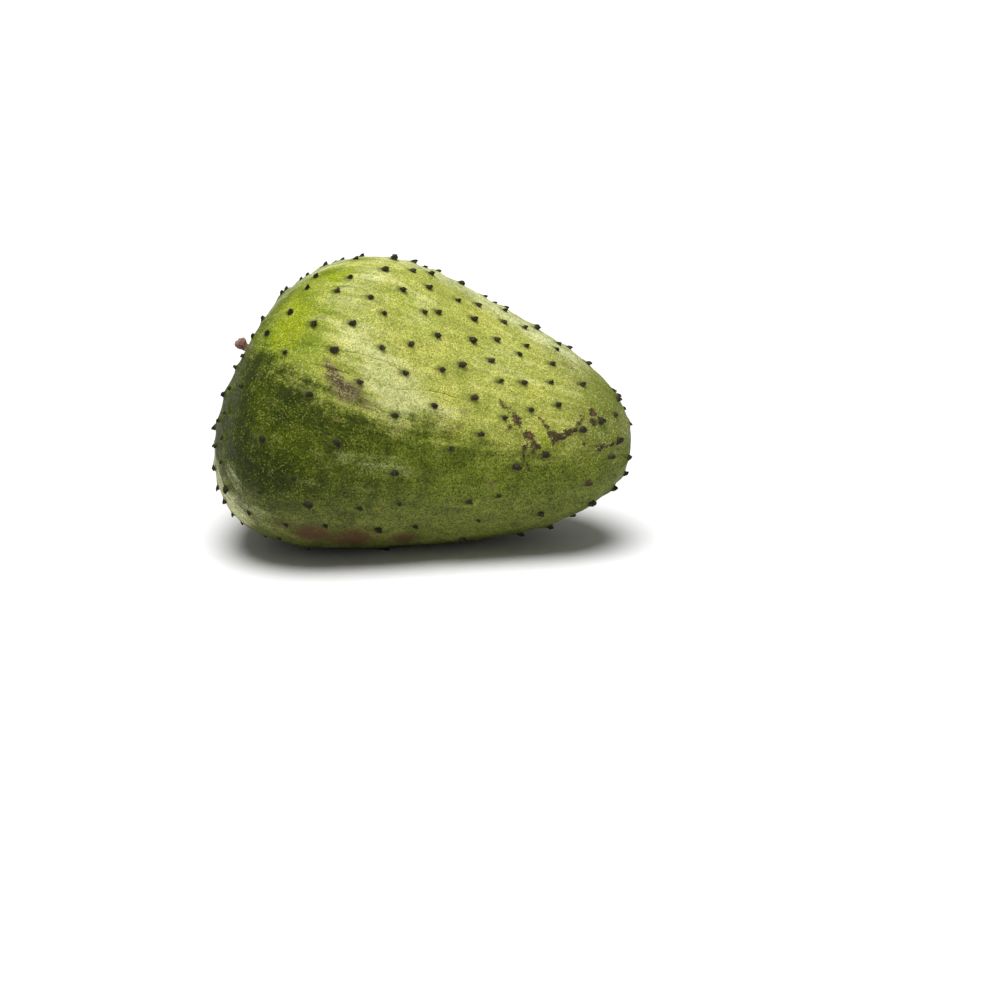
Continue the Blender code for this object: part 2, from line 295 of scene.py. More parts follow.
marks = {
    # the sunned side ends here, and the skin below is darker, partly in its own green and partly as
    # painted shade: along, around
    "sunEdge": [
        (0, 74),
        (16, 71),
        (37, 68),
        (51, 72),
        (69, 79),
        (86, 78),
        (100, 78),
        (115, 83),
        (140, 93),
        (180, 104),
    ],
    "sunFade": 40,  # degrees
    "lineHold": (1.4 * mm, 3.2 * mm),  # a line holds fully this near it, and not at all this far off
    "farOff": 9.0,  # past this many half widths a place is simply far from a line
    # thin corky lines: half width in mm, then the line
    "scars": [
        (0.8, [(113.5, 57), (115, 60), (117, 61.5), (118.5, 65)]),
        (0.6, [(120, 70), (122, 73), (124, 76)]),
        (0.5, [(126, 62), (128, 65), (130, 69), (133, 73)]),
        (0.6, [(133, 73), (137, 71), (139, 68), (141, 64), (143, 57)]),
        (0.5, [(122, 84), (122, 90), (124, 97)]),
        (0.5, [(149, 82), (155, 84)]),
    ],
    # corky lumps: along, around, radius in mm, strength
    "corks": [
        (114.6, 58.5, 0.8, 0.8),
        (116.6, 61.5, 1.0, 0.9),
        (118.5, 64.5, 2.0, 1.0),
        (120.0, 67.5, 1.2, 0.9),
        (116.8, 70.0, 1.3, 0.85),
        (118.0, 72.5, 0.9, 0.7),
        (121.8, 72.0, 1.5, 0.9),
        (123.4, 75.0, 2.2, 1.0),
        (124.6, 79.5, 2.1, 1.0),
        (122.6, 82.5, 1.5, 1.0),
        (126.6, 82.0, 1.3, 0.9),
        (125.0, 85.0, 1.3, 0.8),
        (128.8, 86.5, 2.1, 1.0),
        (127.6, 64.0, 0.9, 0.8),
        (129.2, 67.5, 1.4, 0.9),
        (130.4, 71.5, 1.7, 0.95),
        (132.2, 74.5, 2.5, 1.0),
        (134.8, 74.5, 1.3, 0.9),
        (137.4, 70.5, 1.9, 1.0),
        (139.8, 67.5, 1.5, 0.9),
        (141.0, 62.5, 1.0, 0.8),
        (142.0, 55.0, 0.9, 0.7),
        (147.5, 50.0, 2.0, 1.0),
        (147.8, 59.5, 2.1, 1.0),
        (150.5, 54.0, 1.0, 0.7),
        (152.0, 84.0, 2.2, 1.0),
        (158.0, 82.0, 1.7, 0.8),
        (144.0, 79.5, 0.8, 0.8),
        (134.0, 84.0, 0.8, 0.9),
        (122.0, 92.0, 1.4, 0.7),
    ],
    # where a cork lump is raw and red
    "raw": [
        (118.0, 65.0, 1.5, 1.0),
        (123.2, 74.5, 1.7, 1.0),
        (147.8, 52.5, 1.6, 0.9),
        (151.5, 84.5, 1.2, 0.8),
    ],
    "creases": [
        (0.3, [(47, 61), (55, 58), (63, 56.5), (71, 55), (78, 54.5), (82, 56)]),
        (0.45, [(50, 67.5), (58, 66), (67, 65), (71.5, 66)]),
        (0.25, [(68, 72), (75, 73), (81, 75), (88, 76), (94, 77), (98, 80)]),
        (0.25, [(84, 64), (90, 61), (97, 60), (103, 61)]),
        (0.3, [(48, 101), (60, 96), (70, 98)]),
        (0.3, [(80, 84), (90, 88), (98, 95)]),
        (0.3, [(30, 118), (42, 114), (54, 117)]),
        (0.3, [(60, 12), (70, 9), (84, 10)]),
        (0.3, [(44, 30), (54, 27), (64, 28)]),
    ],
    # brown-grey nets
    "russet": [
        (60.0, 64, 2.6, 0.8),
        (62.5, 66, 3.4, 1.0),
        (65.0, 68.5, 4.2, 1.0),
        (68.0, 71, 5.0, 1.0),
        (71.5, 72, 4.4, 1.0),
        (74.5, 74, 3.4, 0.7),
    ],
    # red-brown stain on the underside
    "stain": [
        (70, 131, 9.0, 1.0),
        (80, 136, 12.0, 1.0),
        (92, 141, 10.0, 0.8),
        (62, 128, 6.0, 0.6),
    ],
    # pale streaky places on the sunned side, partly the skin's own colour and partly a painted reflection
    # along its ridges
    "pale": [
        (84, 68, 13.0, 1.0),
        (76, 60, 12.0, 0.9),
        (66, 50, 12.0, 0.7),
        (97, 72, 9.0, 0.5),
        (112, 30, 16.0, 0.5),
        (62, 18, 12.0, 0.8),
        (56, 34, 11.0, 0.6),
        (82, 24, 13.0, 0.6),
        (140, 17, 16.0, 0.5),
    ],
    # vivid green places
    "vivid": [
        (40, 55, 12.0, 1.0),
        (34, 38, 12.0, 0.7),
        (48, 20, 9.0, 0.8),
        (42, 88, 13.0, 0.6),
        (62, 95, 12.0, 0.7),
        (78, 26, 9.0, 0.7),
        (130, 78, 8.0, 0.6),
    ],
    # pale frost along the upper edge, partly painted sheen where the edge would reflect the white
    # surroundings
    "frostAndSheen": [(place, -10, 13.0, 0.85) for place in range(24, 140, 9)]
    + [(place, -44, 20.0, 0.3) for place in range(30, 140, 12)]
    + [(place, 26 - place, 11.5, 1.0) for place in range(14, 38, 4)],
    # grey bloom low at the stalk end, with painted sheen in it
    "bloomAndSheen": [
        (31, 141, 11.0, 1.0),
        (36, 139, 11.0, 1.0),
        (42, 136, 11.0, 1.0),
        (47, 139, 11.0, 0.9),
        (42, 121, 9.0, 0.5),
        (50, 126, 10.0, 0.5),
        (58, 130, 12.0, 0.35),
        (40, 170, 22.0, 0.5),
    ],
    "spots": [
        (69, 83, 1.6, 0.9),
        (68, 93, 1.4, 0.7),
        (102, 75, 1.5, 1.0),
        (96, 66, 1.2, 0.6),
        (92, 58, 1.0, 0.6),
        (52, 88, 1.2, 0.6),
        (47, 96, 1.3, 0.7),
        (28, 84, 1.8, 0.7),
        (34, 80, 1.4, 0.6),
    ],
}


def placeOf(along, around):
    return skinPoints(math.radians(along), math.radians(around))


def lineOffsets(lines, points, normals):
    # the nearest line's signed offset over its half width, and how much it holds here
    farOff = marks["farOff"]
    full, gone = marks["lineHold"]
    across = np.full(len(points), farOff)
    nearest = np.full(len(points), np.inf)
    held = np.zeros(len(points))
    for halfWidth, path in lines:
        knots = [placeOf(*knot) for knot in path]
        for start, end in zip(knots, knots[1:]):
            run = end - start
            share = np.clip((points - start) @ run / (run @ run), 0, 1)
            away = points - (start + share[:, None] * run)
            distance = np.linalg.norm(away, axis=1)
            side = np.sign(np.einsum("ij,ij->i", np.cross(normals, run), away))
            closer = distance < nearest
            across[closer] = (side * distance / (halfWidth * mm))[closer]
            nearest[closer] = distance[closer]
            held[closer] = smoothStep(-distance, -gone, -full)[closer]
    return np.clip(across, -farOff, farOff), held


def blobs(spots, points):
    # round patches that fade out, each by (along, around, radius in mm, strength)
    clear = np.ones(len(points))
    for along, around, radius, strength in spots:
        away = np.linalg.norm(points - placeOf(along, around), axis=1) / (radius * mm)
        clear = clear * (1 - strength * np.exp(-(away**2)))
    return 1 - clear


# the skin: a sphere's net drawn out to the fruit, then worked

skin = {
    "segments": 400,
    "netRings": 240,
    "lumpSize": 0.55 * mm,
    "lumpSpan": 24 * mm,
    "rippleSize": 0.16 * mm,
    "rippleSpan": 5 * mm,
    "lumpShift": (7.3, 3.1, 5.7),
    "lumpNoise": (0.9, 2.1, 3),  # how each layer fades and shrinks, and how many there are
    # round a spine
    "spineReach": 14 * mm,
    "stalkSideTrail": 1.7,
    "moundHeight": 0.7 * mm,
    "moundRadius": 2.4 * mm,
    "tailLength": 5.0 * mm,
    "tailWidth": 0.9 * mm,
    "tailHeight": 0.3 * mm,
    "tailStart": 1.5 * mm,
    "haloRadius": 2.7 * mm,
    "whiskerLimit": 9.0,  # mm
    "scarRise": 0.5 * mm,
    "creaseDepth": 0.3 * mm,
    "creaseWidth": 2.5,  # half widths of its line
}


def fractal(points, span, seed):
    shift = seed * Vector(skin["lumpShift"])
    return np.array([noise.fractal(Vector(point) / span + shift, *skin["lumpNoise"]) for point in points])


def besideSpines(points):
    # the skin's rise at each spine, a halo there, and how far aside and back of it each point is, in mm
    rise = np.zeros(len(points))
    halo = np.zeros(len(points))
    nearest = np.full(len(points), skin["spineReach"])
    limit = skin["whiskerLimit"]
    whiskerAside = np.full(len(points), limit)
    whiskerBack = np.full(len(points), -limit)
    for here, normal, toTip, size, _ in spinesHere:
        away = points - here
        close = np.linalg.norm(away, axis=1) < skin["spineReach"]
        ahead = away[close] @ toTip
        aside = away[close] @ np.cross(normal, toTip)
        behind = np.maximum(-ahead, 0)
        reach = np.where(ahead < 0, ahead / skin["stalkSideTrail"], ahead)
        gap = np.hypot(reach, aside) / size
        mound = skin["moundHeight"] * size * np.exp(-((gap / skin["moundRadius"]) ** 2))
        tailGap = (aside / skin["tailWidth"] / size) ** 2 + (behind / skin["tailLength"] / size) ** 2
        tail = np.exp(-tailGap) * smoothStep(-ahead, 0, skin["tailStart"])
        rise[close] += mound + skin["tailHeight"] * size * tail
        halo[close] = np.maximum(halo[close], np.exp(-((gap / skin["haloRadius"]) ** 2)))
        own = gap < nearest[close]
        mine = np.flatnonzero(close)[own]
        nearest[mine] = gap[own]
        whiskerAside[mine] = aside[own] / mm
        whiskerBack[mine] = -ahead[own] / mm
    return rise, halo, np.clip(whiskerAside, -limit, limit), np.clip(whiskerBack, -limit, limit)


def makeSkin():
    deselectAll()
    bpy.ops.mesh.primitive_uv_sphere_add(segments=skin["segments"], ring_count=skin["netRings"], radius=1)
    piece = bpy.context.object
    piece.name = "fruitSkin"
    net = meshPoints(piece)
    along = np.arccos(np.clip(net[:, 2], -1, 1))
    around = np.arctan2(-net[:, 1], net[:, 0])
    points = skinPoints(along, around)
    _, normals, _ = skinFrames(along, around)

    rise, halo, whiskerAside, whiskerBack = besideSpines(points)
    scarAcross, scarHeld = lineOffsets(marks["scars"], points, normals)
    creaseAcross, creaseHeld = lineOffsets(marks["creases"], points, normals)
    rise += skin["lumpSize"] * fractal(points, skin["lumpSpan"], 1)
    rise += skin["rippleSize"] * fractal(points, skin["rippleSpan"], 2)
    rise += skin["scarRise"] * blobs(marks["corks"], points)
    rise -= skin["creaseDepth"] * creaseHeld * np.exp(-((creaseAcross / skin["creaseWidth"]) ** 2))

    worked = points + normals * rise[:, None]
    worked[:, 2] = np.maximum(worked[:, 2], 0)
    movePoints(piece, worked)
    bpy.ops.object.shade_smooth()

    sunEdge = np.interp(np.degrees(along), *zip(*marks["sunEdge"]))
    painted = {
        # the sunned side's share: lighter partly in its own colour and partly as painted light
        "sun": (sunEdge - np.degrees(np.abs(around))) / marks["sunFade"],
        "halo": halo,
        "whiskerAside": whiskerAside,
        "whiskerBack": whiskerBack,
        "scarAcross": scarAcross,
        "scarHeld": scarHeld,
        "creaseAcross": creaseAcross,
        "creaseHeld": creaseHeld,
        "along": along / math.pi,
        "roundX": np.cos(around),
        "roundY": np.sin(around),
    }
    for name in ("corks", "raw", "russet", "stain", "pale", "vivid", "frostAndSheen", "bloomAndSheen", "spots"):
        painted[name] = blobs(marks[name], points)
    for name, values in painted.items():
        paint(piece, name, values)
    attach(piece, "root")
    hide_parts("fruit")
    print("skin worked:", len(points), "points")
    return piece


# one spine modelled row by row, then set at every place


def editOn():
    bpy.ops.object.mode_set(mode="EDIT")


def editOff():
    bpy.ops.object.mode_set(mode="OBJECT")


def pickOnly(kind):
    # edit mode picks by this kind, with nothing picked yet
    editOn()
    bpy.ops.mesh.select_mode(type=kind)
    bpy.ops.mesh.select_all(action="DESELECT")
    editOff()


def modelSpine():
    # local X points to the fruit's tip and Z away from the skin, in shares of the radius and height
    deselectAll()
    rows = spine["rows"]
    foot = (0, 0, rows[0][0])
    bpy.ops.mesh.primitive_circle_add(vertices=spine["sides"], radius=1, fill_type="NGON", location=foot)
    bpy.ops.object.transform_apply(location=True, rotation=False, scale=False)
    piece = bpy.context.object
    editOn()
    for below, row in zip(rows, rows[1:]):
        bpy.ops.mesh.extrude_region_move(TRANSFORM_OT_translate={"value": (0, 0, row[0] - below[0])})
    bpy.ops.mesh.merge(type="CENTER")
    editOff()
    points = meshPoints(piece)
    for height, radius, shift, trail in rows:
        level = np.isclose(points[:, 2], height, atol=1e-4)
        trailed = np.where(points[:, 0] < 0, points[:, 0] * trail, points[:, 0])
        points[level, 0] = trailed[level] * radius + shift
        points[level, 1] *= radius
    movePoints(piece, points)
    return piece


def shapedSpine(pattern, here, normal, toTip, size, lean, dice):
    # the model's points at one spine's place: each is turned, sized, bent and crooked a little differently
    turn = math.radians(dice.gauss(0, spine["turn"]))
    side = np.cross(normal, toTip)
    ahead = toTip * math.cos(turn) + side * math.sin(turn)
    across = np.cross(normal, ahead)
    wide = spine["radius"] * size * dice.uniform(*spine["widths"])
    high = spine["height"] * size * dice.uniform(*spine["heights"])
    bend = dice.uniform(*spine["bends"])
    x = pattern[:, 0] * wide
    y = pattern[:, 1] * wide * dice.uniform(*spine["flattenings"])
    z = pattern[:, 2] * high
    x = x + lean * high * np.clip(pattern[:, 2], 0, 1) ** bend * spine["leanShare"]
    crook = np.array([dice.gauss(0, spine["crook"]) * wide for _ in pattern])
    above = pattern[:, 2] > spine["crookFrom"]
    x += crook * above
    y += np.roll(crook, 3) * above
    points = here + np.outer(x, ahead) + np.outer(y, across) + np.outer(z, normal)
    points[:, 2] = np.maximum(points[:, 2], 0)
    return points


def setSpines():
    model = modelSpine()
    dice = random.Random(spine["shapeSeed"])
    pattern = meshPoints(model)
    copies = []
    tones = []
    deselectAll()
    for place in spinesHere:
        copy = bpy.data.objects.new("spine", model.data.copy())
        bpy.context.scene.collection.objects.link(copy)
        movePoints(copy, shapedSpine(pattern, *place, dice))
        copies.append(copy)
        tones.append(dice.random())
    for copy in copies:
        copy.select_set(True)
    bpy.context.view_layer.objects.active = copies[0]
    bpy.data.objects.remove(model)
    bpy.ops.object.join()
    piece = bpy.context.object
    piece.name = "fruitSpines"
    editOn()
    bpy.ops.mesh.select_all(action="SELECT")
    bpy.ops.mesh.normals_make_consistent(inside=False)
    editOff()
    bpy.ops.object.shade_smooth_by_angle(angle=spine["smoothAngle"])
    paint(piece, "rise", np.tile(pattern[:, 2], len(copies)))
    paint(piece, "tone", np.repeat(tones, len(pattern)))
    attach(piece, "root")
    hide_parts("fruit")
    print("spines set:", len(copies))
    return piece


# the woody stub in its dimple

stalk = {
    # distance along, radius
    "profile": [
        (-3.2, 2.1),
        (0.5, 2.4),
        (2.0, 1.9),
        (3.6, 1.9),
        (5.2, 2.4),
        (6.6, 2.8),
        (7.7, 2.7),
        (8.4, 1.9),
    ],
    "curl": math.radians(46),
    "curlSteps": 24,
    "sides": 36,
    "cuts": 40,
    "endInsets": 4,
    "endInset": 0.2,
    # the bark's ridges and knobs start above the sunk root: from, fully
    "barkStart": (0.5 * mm, 3 * mm),
    "ridges": 7,
    "ridgeShare": 0.06,
    "ridgeTwist": 3,
    "knobShare": 0.2,
    "knobSpan": 1.9 * mm,
    "knobNoise": (0.8, 2.0, 3),
    # the broken end
    "endRoughness": 0.6 * mm,
    "endHollow": 0.6,
    "chipSpan": 1.6 * mm,
    "chipShift": (9, 0, 0),
    "chipNoise": (0.8, 2.0, 2),
    "smoothAngle": math.radians(60),
}


def curledBy(share):
    return np.array(Matrix.Rotation(stalk["curl"] * share, 3, "Y"))


def stalkPath(distance):
    # the stub's centre and direction this far from the dimple's floor
    root = skinPoints(0.0, 0.0)
    out = layTurn @ unit(curved(-1e-3, 0.0, 0.0) - curved(0.0, 0.0, 0.0))
    length = stalk["profile"][-1][0] * mm
    if distance <= 0:
        return root + out * distance, out
    steps = stalk["curlSteps"]
    here = root.copy()
    for i in range(steps):
        share = distance * (i + 0.5) / steps / length
        here = here + curledBy(share) @ out * (distance / steps)
    return here, curledBy(distance / length) @ out


def stalkNet():
    # a cylinder of many short rings, with rings in both ends too
    deselectAll()
    bpy.ops.mesh.primitive_cylinder_add(vertices=stalk["sides"], radius=1, depth=1, location=(0, 0, 0))
    piece = bpy.context.object
    piece.name = "stalkStub"
    pickOnly("EDGE")
    for edge in piece.data.edges:
        ends = [piece.data.vertices[i].co.z for i in edge.vertices]
        edge.select = abs(ends[0] - ends[1]) > 0.5
    editOn()
    bpy.ops.mesh.subdivide(number_cuts=stalk["cuts"])
    editOff()
    pickOnly("FACE")
    for face in piece.data.polygons:
        face.select = abs(face.normal.z) > 0.9
    editOn()
    for _ in range(stalk["endInsets"]):
        bpy.ops.mesh.inset(thickness=stalk["endInset"])
    editOff()
    return piece


def makeStalk():
    piece = stalkNet()
    net = meshPoints(piece)
    distances, radii = (np.array(row) * mm for row in zip(*stalk["profile"]))
    share = net[:, 2] + 0.5
    distance = distances[0] + share * (distances[-1] - distances[0])
    turn = np.arctan2(net[:, 1], net[:, 0])
    inward = np.hypot(net[:, 0], net[:, 1])
    bark = smoothStep(distance, *stalk["barkStart"])
    ridge = stalk["ridgeShare"] * bark * np.cos(stalk["ridges"] * turn + stalk["ridgeTwist"] * share)
    radius = np.interp(distance, distances, radii) * (1 + ridge)
    atEnd = share > 0.99
    points = np.empty_like(net)
    for i in range(len(net)):
        centre, ahead = stalkPath(distance[i])
        side = np.array([0.0, 1.0, 0.0])
        up = unit(np.cross(side, ahead))
        out = side * math.cos(turn[i]) + up * math.sin(turn[i])
        place = centre + out * radius[i] * inward[i]
        knob = noise.fractal(Vector(place) / stalk["knobSpan"], *stalk["knobNoise"])
        place = place + out * radius[i] * inward[i] * stalk["knobShare"] * knob * bark[i]
        if atEnd[i]:
            spot = Vector(place) / stalk["chipSpan"] + Vector(stalk["chipShift"])
            chip = noise.fractal(spot, *stalk["chipNoise"])
            place = place + ahead * stalk["endRoughness"] * (chip - (1 - inward[i]) * stalk["endHollow"])
        points[i] = place
    movePoints(piece, points)
    bpy.ops.object.shade_smooth_by_angle(angle=stalk["smoothAngle"])
    paint(piece, "cutEnd", np.where(atEnd, 1 - inward, 0))
    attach(piece, "root")
    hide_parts("stalk")
    print("stalk made")
    return piece


# shader maths: a wire is a socket that can be reckoned with, and a graph is one material's nodes


class Wire:
    def __init__(self, graph, socket):
        self.graph = graph
        self.socket = socket

    def maths(self, operation, *values):
        return self.graph.add("ShaderNodeMath", {"operation": operation}, dict(enumerate(values)))

    def __add__(self, other):
        return self.maths("ADD", self, other)

    def __radd__(self, other):
        return self.maths("ADD", other, self)

    def __sub__(self, other):
        return self.maths("SUBTRACT", self, other)

    def __rsub__(self, other):
        return self.maths("SUBTRACT", other, self)

    def __mul__(self, other):
        return self.maths("MULTIPLY", self, other)

    def __rmul__(self, other):
        return self.maths("MULTIPLY", other, self)

    def __abs__(self):
        return self.maths("ABSOLUTE", self)


class Graph:
    def __init__(self, name):
        self.material = bpy.data.materials.new(name)
        self.material.use_nodes = True
        self.tree = self.material.node_tree
        self.shader = self.tree.nodes["Principled BSDF"]

    def add(self, kind, settings=None, sockets=None, out=0):
        node = self.tree.nodes.new(kind)
        for key, value in (settings or {}).items():
            setattr(node, key, value)
        self.plug(node, sockets or {})
        return Wire(self, node.outputs[out])

    def plug(self, node, sockets):
        for key, value in sockets.items():
            if isinstance(value, Wire):
                self.tree.links.new(value.socket, node.inputs[key])
            elif isinstance(value, tuple):
                node.inputs[key].default_value = (*value, 1)  # a colour
            else:
                node.inputs[key].default_value = value

    def objectPlace(self):
        return self.add("ShaderNodeTexCoord", out="Object")

    def attribute(self, name):
        return self.add("ShaderNodeAttribute", {"attribute_name": name}, out="Fac")

    def noise(self, vector, scale, detail, roughness, distortion=0.0):
        sockets = {
            "Vector": vector,
            "Scale": scale,
            "Detail": detail,
            "Roughness": roughness,
            "Distortion": distortion,
        }
        return self.add("ShaderNodeTexNoise", None, sockets, "Fac")

    def step(self, value, low, high):
        sockets = {"Value": value, "From Min": low, "From Max": high, "To Min": 0.0, "To Max": 1.0}
        return self.add("ShaderNodeMapRange", {"interpolation_type": "SMOOTHSTEP"}, sockets)

    def blend(self, share, first, second, kind="MIX"):
        settings = {"data_type": "RGBA", "blend_type": kind, "clamp_factor": True}
        return self.add("ShaderNodeMix", settings, {0: share, 6: first, 7: second}, 2)

    def maximum(self, first, second):
        return self.add("ShaderNodeMath", {"operation": "MAXIMUM"}, {0: first, 1: second})

    def scaled(self, vector, amount):
        return self.add("ShaderNodeVectorMath", {"operation": "SCALE"}, {0: vector, 3: amount})

    def cells(self, vector, scale):
        # a random value for each cell, and the distance from its centre
        colour = self.add("ShaderNodeTexVoronoi", None, {"Vector": vector, "Scale": scale}, "Color")
        value = self.add("ShaderNodeSeparateColor", None, {"Color": colour}, "Red")
        return value, Wire(self, colour.socket.node.outputs["Distance"])

    def bump(self, height, distance, strength):
        sockets = {"Height": height, "Distance": distance, "Strength": strength}
        return self.add("ShaderNodeBump", None, sockets)


skinLook = {
    # the sunned side: its own lighter colour, partly painted light from above
    "leaf": (0.185, 0.245, 0.006),
    "litAndSunned": (0.365, 0.385, 0.070),
    "warm": (0.425, 0.410, 0.065),
    "vivid": (0.26, 0.315, 0.004),
    "pale": (0.58, 0.59, 0.27),
    "tip": (0.155, 0.18, 0.03),
    # the shaded side: its own darker green, partly painted shade
    "deep": (0.030, 0.043, 0.001),
    "deepWarm": (0.056, 0.077, 0.001),
    "deepGrey": (0.13, 0.14, 0.045),
    "middle": (0.125, 0.160, 0.012),
    "underside": (0.17, 0.185, 0.05),
    # over both
    "frostAndSheen": (0.58, 0.60, 0.34),
    "collar": (0.052, 0.066, 0.006),
    "bloomAndSheen": (0.56, 0.58, 0.32),
    "yellowTint": (1.0, 0.96, 0.78),
    "greenTint": (0.93, 1.0, 0.92),
    "pit": (0.13, 0.19, 0.005),
    "pitDeep": (0.012, 0.022, 0.001),
    "speck": (0.86, 0.84, 0.36),
    "speckDeep": (0.27, 0.33, 0.05),
    # round the spines
    "halo": (0.07, 0.10, 0.01),
    # painted shade along each spine's whisker and in the creases
    "lineShade": (0.05, 0.055, 0.015),
    # flaws
    "stain": (0.085, 0.035, 0.02),
    "russetPale": (0.38, 0.31, 0.15),
    "russet": (0.045, 0.026, 0.018),
    "spot": (0.13, 0.072, 0.028),
    "cork": (0.022, 0.013, 0.009),
    "corkGrain": (0.12, 0.066, 0.045),
    "raw": (0.22, 0.10, 0.055),
    # noises: scale, detail, roughness, distortion
    "grain": {
        "broad": (30, 2.0, 0.55, 0.0),
        "blotch": (62, 3.0, 0.55, 0.4),
        "mottle": (130, 4.0, 0.62, 0.0),
        "flecks": (230, 1.0, 0.3, 0.0),
        "crumbs": (380, 3.0, 0.7, 0.0),
        "grains": (700, 4.0, 0.85, 0.0),
        "dust": (1500, 3.0, 0.8, 0.0),
    },
    # the same, drawn out along the fruit
    "streaks": {
        "streaks": (12.0, 5.0, 0.65, 0.25),
        "fineStreaks": (42, 3.0, 0.6, 0.1),
    },
    "streakLength": 0.42,  # the smaller, the longer
    "fineCells": 1300,
    "largeCells": 820,
    "relief": 0.6 * mm,
    "reliefStrength": 0.7,
    "shine": 0.1,
}


class SkinGraph(Graph):
    # the skin's nodes: its noises are at hand, and its colour is laid on coat by coat
    def __init__(self):
        super().__init__("soursopSkin")
        self.place = self.objectPlace()
        self.along = self.attribute("along")
        self.front = self.attribute("roundY")
        lengthwise = {0: self.attribute("roundX"), 1: self.front, 2: self.along * skinLook["streakLength"]}
        drawnOut = self.add("ShaderNodeCombineXYZ", None, lengthwise)
        self.grain = {name: self.noise(self.place, *values) for name, values in skinLook["grain"].items()}
        for name, values in skinLook["streaks"].items():
            self.grain[name] = self.noise(drawnOut, *values)
        self.colour = None

    def frayed(self, value, **amounts):
        # the value made ragged, by so much of each noise's swing about its middle
        for name, amount in amounts.items():
            value = value + (self.grain[name] - 0.5) * amount
        return value

    def lay(self, share, colour, kind="MIX"):
        # one more coat over the colour so far
        self.colour = self.blend(share, self.colour, colour, kind)


def litAndSunnedShare(graph):
    # sunned above and shaded below, the lighter side partly painted light and the darker side partly
    # painted shade, with a ragged border that softens towards the tip
    toTip = graph.step(graph.along, 0.42, 0.66)
    soft = graph.maximum(toTip, 1 - graph.step(graph.front, -0.5, 0.1))
    sun = graph.frayed(graph.attribute("sun"), mottle=0.5, broad=0.3, streaks=0.6, grains=0.25)
    return graph.step(sun, -0.2 - soft * 0.2, 0.2 + soft * 0.25)


def paleShare(graph):
    pale = graph.frayed(graph.attribute("pale") * 0.8, streaks=1.3, fineStreaks=0.9, blotch=0.8)
    return graph.step(pale, 0.1, 0.85)


def litAndSunnedColour(graph, pale):
    ripe = graph.step(graph.frayed(graph.along, broad=0.35, streaks=0.3), 0.16, 0.42)
    warm = graph.step(graph.frayed(graph.grain["blotch"], streaks=0.6), 0.5, 0.68)
    vivid = graph.step(graph.frayed(graph.attribute("vivid"), blotch=1.7), 0.25, 0.75)
    tip = graph.step(graph.frayed(graph.along, broad=0.2, mottle=0.15), 0.62, 0.86)
    colour = graph.blend(ripe, skinLook["leaf"], skinLook["litAndSunned"])
    colour = graph.blend(warm * ripe * 0.6, colour, skinLook["warm"])
    colour = graph.blend(vivid * 0.85, colour, skinLook["vivid"])
    # pale streaks, partly painted reflection
    colour = graph.blend(pale * 0.7, colour, skinLook["pale"])
    return graph.blend(tip, colour, skinLook["tip"])


def shadedColour(graph):
    # the shaded side's colour: its own darker green, partly painted shade
    warm = graph.step(graph.frayed(graph.attribute("vivid"), blotch=1.8), 0.1, 0.7)
    # greyer where the bloom lies, partly painted sheen
    grey = graph.step(graph.frayed(graph.attribute("bloomAndSheen"), blotch=1.1), 0.1, 0.9)
    middle = graph.step(graph.frayed(graph.along, mottle=0.2), 0.30, 0.62)
    height = graph.add("ShaderNodeSeparateXYZ", None, {"Vector": graph.place}, "Z")
    under = 1 - graph.step(graph.frayed(height, blotch=20 * mm), 18 * mm, 50 * mm)
    colour = graph.blend(warm, skinLook["deep"], skinLook["deepWarm"])
    colour = graph.blend(grey, colour, skinLook["deepGrey"])
    colour = graph.blend(middle, colour, skinLook["middle"])
    return graph.blend(under * 0.6, colour, skinLook["underside"])


def layFrostAndSheen(graph):
    # pale frost along the upper edge, partly painted sheen
    frostAndSheen = graph.frayed(graph.attribute("frostAndSheen"), streaks=1.4, blotch=0.9, grains=0.5)
    graph.lay(graph.step(frostAndSheen, 0.1, 1.1) * 0.7, skinLook["frostAndSheen"])


def layCollar(graph):
    collar = 1 - graph.step(graph.frayed(graph.along, mottle=0.08, streaks=0.08), 0.06, 0.21)
    graph.lay(collar * 0.75, skinLook["collar"])


def layBloomAndSheen(graph):
    # grey wax bloom low at the stalk end, partly painted sheen
    low = graph.attribute("bloomAndSheen")
    bloomAndSheen = graph.step(graph.frayed(low * 0.9, streaks=1.6, mottle=1.0, grains=0.8), 0.2, 1.0)
    bloomAndSheen = bloomAndSheen * graph.step(low, 0.15, 0.6)
    graph.lay(bloomAndSheen * 0.85, skinLook["bloomAndSheen"])
    return bloomAndSheen


def layHues(graph, sunlit):
    # patches of light and dark, and small changes of hue
    patches = graph.frayed(graph.grain["mottle"] * 0.6 + graph.grain["blotch"] * 0.4, streaks=0.5)
    depth = (0.58 - 0.20 * sunlit) * graph.step(patches, 0.3, 0.7)
    graph.colour = graph.scaled(graph.colour, 0.70 + 0.10 * sunlit + depth)
    hue = graph.frayed(graph.grain["crumbs"], blotch=0.8, streaks=0.3)
    graph.lay(graph.step(hue, 0.5, 0.68) * 0.5, skinLook["yellowTint"], "MULTIPLY")
    graph.lay((1 - graph.step(hue, 0.34, 0.5)) * 0.5, skinLook["greenTint"], "MULTIPLY")


